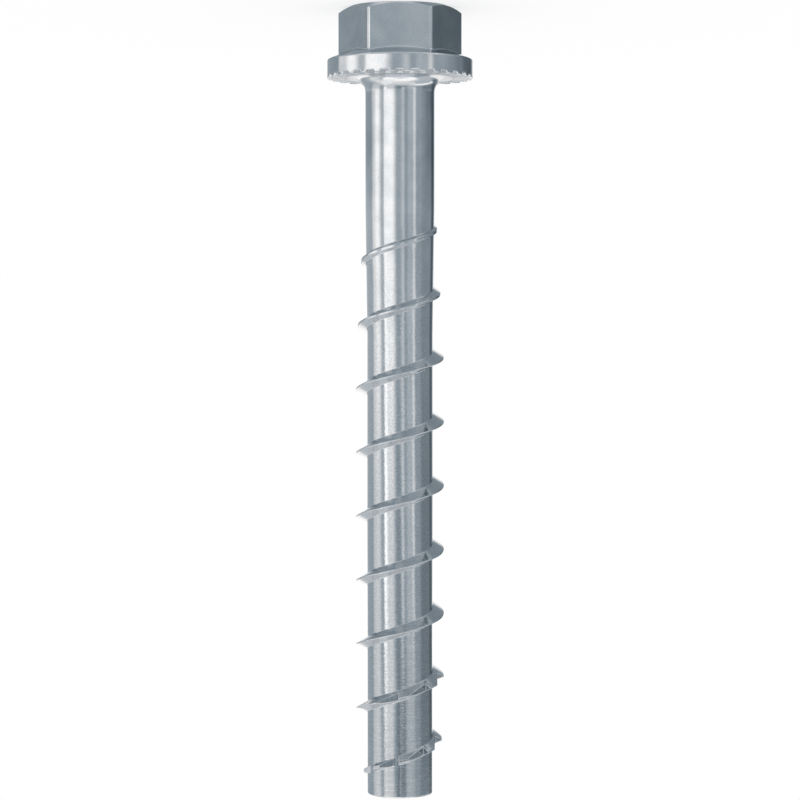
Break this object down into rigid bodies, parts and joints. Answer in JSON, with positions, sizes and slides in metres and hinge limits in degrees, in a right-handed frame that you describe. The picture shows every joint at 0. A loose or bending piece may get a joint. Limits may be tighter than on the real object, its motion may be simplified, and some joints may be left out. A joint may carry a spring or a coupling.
{
  "type": "concrete screw",
  "caption": "Self-cutting concrete screw with a hexagon washer-flange head, ribbed bearing face, plain shank and a long-pitch V thread with saw teeth near the tip.",
  "frame": {"origin": "centre of the flat top face of the hexagon head, on the surface that the screw stands on", "axes": "+Z along the screw's axis from the head to the tip; two flats of the hexagon face -Y and +Y"},
  "size_m": [0.0203, 0.0202, 0.1098],
  "materials": {
    "zinc_plated_steel": "bright blue-passivated zinc plating"
  },
  "bodies": {
    "root": {"concrete_screw": "zinc_plated_steel"}
  },
  "joints": []
}
